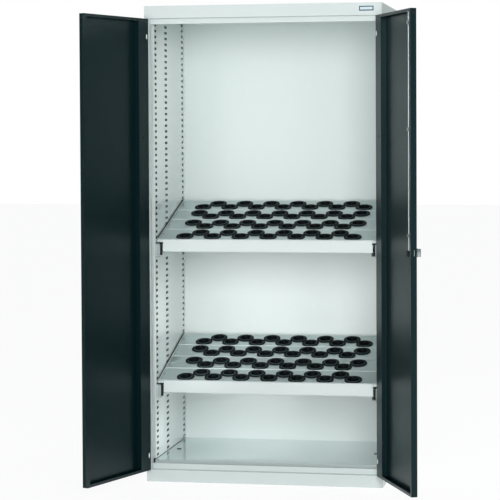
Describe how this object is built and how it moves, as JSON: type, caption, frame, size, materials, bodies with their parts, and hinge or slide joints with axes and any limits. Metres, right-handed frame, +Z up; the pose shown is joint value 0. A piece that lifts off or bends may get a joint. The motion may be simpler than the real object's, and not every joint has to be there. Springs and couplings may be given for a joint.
{
  "type": "tool storage cabinet",
  "caption": "Tall two-door sheet steel cabinet with two sloping pull-out frames of staggered tool holder sockets, perforated inner walls and a rod lock.",
  "frame": {"origin": "centre of the base frame's underside", "axes": "+Z up, -Y towards the doors, +X to the right"},
  "size_m": [1.3522, 1.1457, 2],
  "materials": {
    "body_paint": "light cool grey, fine satin powder coat",
    "door_paint": "anthracite, satin powder coat",
    "zinc": "zinc plated, satin",
    "steel": "bright zinc plated slides",
    "insert_plastic": "moulded black plastic",
    "galvanised": "galvanised sheet"
  },
  "bodies": {
    "cabinet": {"plinth": "body_paint", "left_side_panel": "body_paint", "right_side_panel": "body_paint", "left_perforated_wall": "body_paint", "right_perforated_wall": "body_paint", "back_panel": "body_paint", "roof_cap": "body_paint", "top_rail": "body_paint", "bottom_rail": "body_paint", "floor_panel": "galvanised", "body_hinge_leaves": "zinc", "hinge_pins": "zinc", "upper_slide_brackets": "body_paint", "upper_slide_outers": "steel", "lower_slide_brackets": "body_paint", "lower_slide_outers": "steel"},
    "left_door": {"left_door_panel": "door_paint", "left_door_stiffener": "door_paint", "left_door_stop_strip": "door_paint", "left_door_hinge_leaves": "zinc"},
    "right_door": {"right_door_panel": "door_paint", "right_door_stiffener": "door_paint", "right_door_hinge_leaves": "zinc", "lock_case": "zinc", "lock_rosette": "zinc", "rod_guides": "zinc"},
    "handle": {"lock_handle": "zinc", "lock_cam": "steel"},
    "rod": {"locking_rod": "zinc"},
    "bolt": {"latch_bolt": "steel"},
    "upper_middles": {"upper_slide_middles": "steel"},
    "upper_frame": {"upper_slide_inners": "steel", "upper_frame_front": "body_paint", "upper_frame_left_side": "body_paint", "upper_frame_right_side": "body_paint", "upper_frame_rear": "body_paint", "upper_carrier_1": "body_paint", "upper_inserts_1": "insert_plastic", "upper_carrier_2": "body_paint", "upper_inserts_2": "insert_plastic", "upper_carrier_3": "body_paint", "upper_inserts_3": "insert_plastic", "upper_carrier_4": "body_paint", "upper_inserts_4": "insert_plastic"},
    "lower_middles": {"lower_slide_middles": "steel"},
    "lower_frame": {"lower_slide_inners": "steel", "lower_frame_front": "body_paint", "lower_frame_left_side": "body_paint", "lower_frame_right_side": "body_paint", "lower_frame_rear": "body_paint", "lower_carrier_1": "body_paint", "lower_inserts_1": "insert_plastic", "lower_carrier_2": "body_paint", "lower_inserts_2": "insert_plastic", "lower_carrier_3": "body_paint", "lower_inserts_3": "insert_plastic", "lower_carrier_4": "body_paint", "lower_inserts_4": "insert_plastic"}
  },
  "joints": [
    {"name": "left_door_hinge", "type": "hinge", "parent": "cabinet", "child": "left_door", "pos_m": [-0.495, -0.3264, 1], "axis": [0, 0, -1], "range_deg": [-108.4, 11.6]},
    {"name": "right_door_hinge", "type": "hinge", "parent": "cabinet", "child": "right_door", "pos_m": [0.495, -0.3264, 1], "axis": [0, 0, 1], "range_deg": [-113.1, 6.9]},
    {"name": "handle_turn", "type": "hinge", "parent": "right_door", "child": "handle", "pos_m": [0.68136, -0.76331, 1], "axis": [-0.9198, -0.3923, 0], "range_deg": [-90, 0]},
    {"name": "rod_slide", "type": "slide", "parent": "right_door", "child": "rod", "axis": [0, 0, 1], "range_m": [0, 0.015]},
    {"name": "bolt_slide", "type": "slide", "parent": "right_door", "child": "bolt", "axis": [0.3923, -0.9198, 0], "range_m": [0, 0.012]},
    {"name": "upper_frame_slide", "type": "slide", "parent": "cabinet", "child": "upper_frame", "axis": [0, -1, 0], "range_m": [0, 0.5]},
    {"name": "upper_middles_slide", "type": "slide", "parent": "cabinet", "child": "upper_middles", "axis": [0, -1, 0], "range_m": [0, 0.25]},
    {"name": "lower_frame_slide", "type": "slide", "parent": "cabinet", "child": "lower_frame", "axis": [0, -1, 0], "range_m": [0, 0.5]},
    {"name": "lower_middles_slide", "type": "slide", "parent": "cabinet", "child": "lower_middles", "axis": [0, -1, 0], "range_m": [0, 0.25]}
  ],
  "couplings": [
    {"joint": "handle_turn", "follows": "rod_slide", "rad_per_m": -104.7},
    {"joint": "bolt_slide", "follows": "rod_slide", "ratio": 0.8},
    {"joint": "upper_middles_slide", "follows": "upper_frame_slide", "ratio": 0.5},
    {"joint": "lower_middles_slide", "follows": "lower_frame_slide", "ratio": 0.5}
  ]
}
